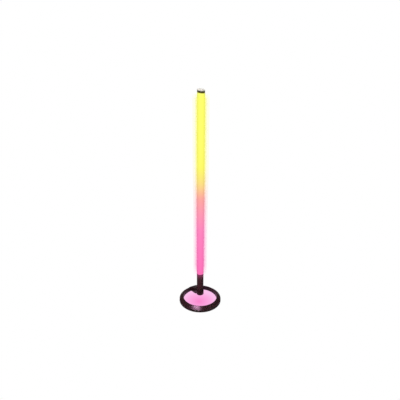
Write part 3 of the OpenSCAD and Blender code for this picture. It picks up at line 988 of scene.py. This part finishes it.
def pool_and_shadow_material(radius):
    """Painted pink light that fades outwards, then a painted contact shadow under the ring; at full strength
    to the eye and at half of it in mirrored light.
    """
    mix = Recipe("pink_pool_and_contact_shadow", roughness=1.0, specular_ior_level=0.0)
    centre = -ahead * 22 * MM - across * 6 * MM
    away = mix.node("ShaderNodeVectorMath", {"operation": "DISTANCE"}, {0: mix.here, 1: centre}, out="Value")
    fade = [(0.0, "fb86cc"), (0.15, "fb92d3"), (0.4, "fca0db"), (0.7, "fdaee3"), (1.0, "fcc2ec")]
    stops = [(position, colour(code)) for position, code in fade]
    pink = mix.node("ShaderNodeValToRGB", {"stops": stops}, {0: away / radius})
    far = mix.node("ShaderNodeVectorMath", {"operation": "LENGTH"}, {0: mix.here}, out="Value")
    # Painted contact shadow: past the pool's edge, under the ring and just beyond it, the disc is
    # near-black.
    painted_shadow_mask = mix.node("ShaderNodeMath", {"operation": "GREATER_THAN"}, {0: far, 1: radius + 1.5 * MM})
    lit = mix.blend(painted_shadow_mask, pink, (0.004, 0.002, 0.003, 1))
    seen = mix.node("ShaderNodeLightPath", out="Is Camera Ray")
    mix.feed("base color", black)
    mix.feed("emission color", mix.blend(0.5 + 0.5 * seen, black, lit))
    mix.feed("emission strength", 1.0)
    return mix.material


stage_disc("floor", 8.0, 0, floor_material())
# This disc reaches 0.5 mm past the ring, so its painted contact shadow shows at the ring's foot.
stage_disc("light_pool", ring_r + 0.5 * MM, 0.3 * MM, pool_and_shadow_material(hole_r))
print("studio floor and light pool in place")

# %% [markdown]
# ## A painted glow round the tube
# Round the lit tube a soft glow in the tube's own colour is painted in. Three thin sleeves give it: each is
# nearly clear and carries a faint painted glow, a look through the middle crosses them all, and they fade
# out at both ends. They are stage pieces as well, seen by the camera only, so they cast and mirror nothing.

# %% Halo
halo_foot, halo_head = glow_low - 20 * MM, glow_high - 8 * MM


def halo_material(name, low_share, high_share):
    """Painted glow: its colour follows the tube's, and its share of what is seen fades out at both ends."""
    mix = Recipe(name, roughness=1.0, specular_ior_level=0.0)
    height = height_share(mix, halo_foot, halo_head)
    tints = [(0.0, "ff70c0"), (0.3, "ff80c4"), (0.47, "ffa0a8"), (0.56, "fde080"), (0.65, "fffb6a")]
    shares = [(0.0, 0.0), (0.03, low_share / 4), (0.06, low_share), (0.47, low_share), (0.63, high_share),
              (0.97, high_share), (1.0, 0.0)]
    tint_stops = [(at, colour(code)) for at, code in tints]
    share_stops = [(at, (share, share, share, 1)) for at, share in shares]
    mix.feed("base color", black)
    # Painted glow: emission on nearly clear sheets, seen by the camera only.
    mix.feed("emission color", mix.node("ShaderNodeValToRGB", {"stops": tint_stops}, {0: height}))
    mix.feed("emission strength", 1.0)
    mix.feed("alpha", mix.node("ShaderNodeValToRGB", {"stops": share_stops}, {0: height}))
    return mix.material


def halo_sleeve(name, low_radius, high_radius, low_share, high_share, steps=96, rows=24):
    """An open sleeve round the tube, with one radius and density below its middle and another above it."""
    turns = [2 * math.pi * k / steps for k in range(steps)]
    verts = []
    for i in range(rows + 1):
        up = i / rows
        radius = low_radius + (high_radius - low_radius) * min(max((up - 0.4) / 0.2, 0), 1)
        z = halo_foot + (halo_head - halo_foot) * up
        verts += [(radius * math.cos(a), radius * math.sin(a), z) for a in turns]
    faces = []
    for low in range(0, rows * steps, steps):
        high = low + steps
        faces += [(low + k, low + (k + 1) % steps, high + (k + 1) % steps, high + k) for k in range(steps)]
    air = mesh_piece(name, verts, faces)
    air.data.materials.append(halo_material(name, low_share, high_share))
    for ray in ("diffuse", "glossy", "transmission", "shadow", "volume_scatter"):
        setattr(air, f"visible_{ray}", False)


halo_sleeve("halo_near", 24 * MM, 23.5 * MM, 0.3, 0.36)
halo_sleeve("halo_middle", 31 * MM, 29.5 * MM, 0.14, 0.2)
halo_sleeve("halo_far", 38 * MM, 41 * MM, 0.1, 0.11)
print("halo of three sleeves in place")

# %% [markdown]
# ## Light
# Behind the object the air is plain white, but as a source of light it is dim, so that the black mouldings
# stay dark. Three large soft lamps give the shapes a little light: the key from the front left, a weak
# fill from the front right and one over the back. A smaller lamp with a narrow spread is aimed at the
# front of the ring only, and draws the pink highlight on its slope.

# %% Sky and lamps


def sky(seen, felt):
    """White air behind the object, and a dimmer one that lights it and shows in its gloss."""
    world = bpy.data.worlds.new("studio_air")
    bpy.context.scene.world = world
    world.use_nodes = True
    tree = world.node_tree
    back = tree.nodes["Background"]
    back.inputs["Color"].default_value = white
    path = tree.nodes.new("ShaderNodeLightPath")
    level = tree.nodes.new("ShaderNodeMapRange")
    level.inputs["To Min"].default_value = felt
    level.inputs["To Max"].default_value = seen
    tree.links.new(path.outputs["Is Camera Ray"], level.inputs["Value"])
    tree.links.new(level.outputs[0], back.inputs["Strength"])


def softbox(name, spot, target, size, power, tint=(1, 1, 1), spread=180):
    """A flat lamp aimed at a target. A spread under 180 degrees keeps its light narrow."""
    lamp = bpy.data.lights.new(name, "AREA")
    lamp.spread = math.radians(spread)
    lamp.shape = "RECTANGLE"
    lamp.size, lamp.size_y = size
    lamp.energy = power
    lamp.color = tint
    holder = bpy.data.objects.new(name, lamp)
    bpy.context.scene.collection.objects.link(holder)
    holder.location = spot
    holder.rotation_euler = (Vector(target) - Vector(spot)).to_track_quat("-Z", "Y").to_euler()


sky(seen=1.0, felt=0.12)
softbox("key", (-2.2, -2.4, 2.2), (0, 0, 0.2), (1.4, 1.4), 90)
softbox("fill", (1.6, -2.8, 2.4), (0, 0, 0.3), (1.4, 1.4), 14)
softbox("over", (0.8, 1.5, 3.5), (0, 0, 1.0), (1.5, 1.5), 60)
softbox("rim", (-0.75, -0.41, 1.87), (-0.07, -0.085, 0.02), (1.0, 0.4), 3, (1, 0.5, 0.82), 50)
bpy.context.scene.view_settings.view_transform = "Standard"
print("lamps in place")
